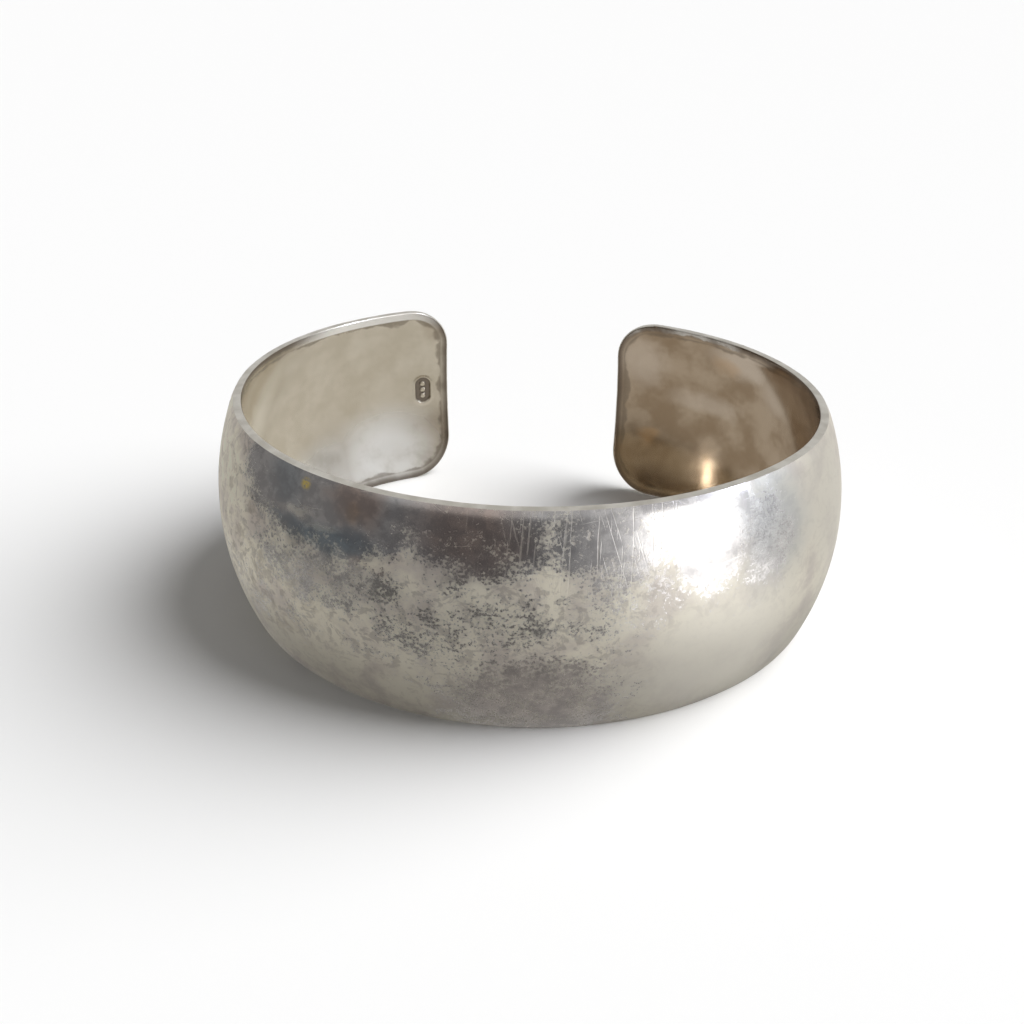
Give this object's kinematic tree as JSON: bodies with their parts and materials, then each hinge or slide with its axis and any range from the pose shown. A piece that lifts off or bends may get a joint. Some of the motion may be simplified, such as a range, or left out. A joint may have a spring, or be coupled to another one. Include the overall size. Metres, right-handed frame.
{
  "type": "open cuff bracelet",
  "caption": "Open C-shaped cuff bracelet of domed silver sheet with rounded ends, slipped on to the wrist through the gap at its back.",
  "frame": {"origin": "middle of the bounding box, level with the lower rim", "axes": "+Z along the wrist, -Y towards the closed front, +Y towards the gap, +X towards the right arm as seen from the front"},
  "size_m": [0.0641, 0.0576, 0.022],
  "materials": {
    "silver": "worn satin sterling silver with a warm grey patina, fine scratches and small dark specks"
  },
  "bodies": {
    "root": {"cuff": "silver"}
  },
  "joints": []
}
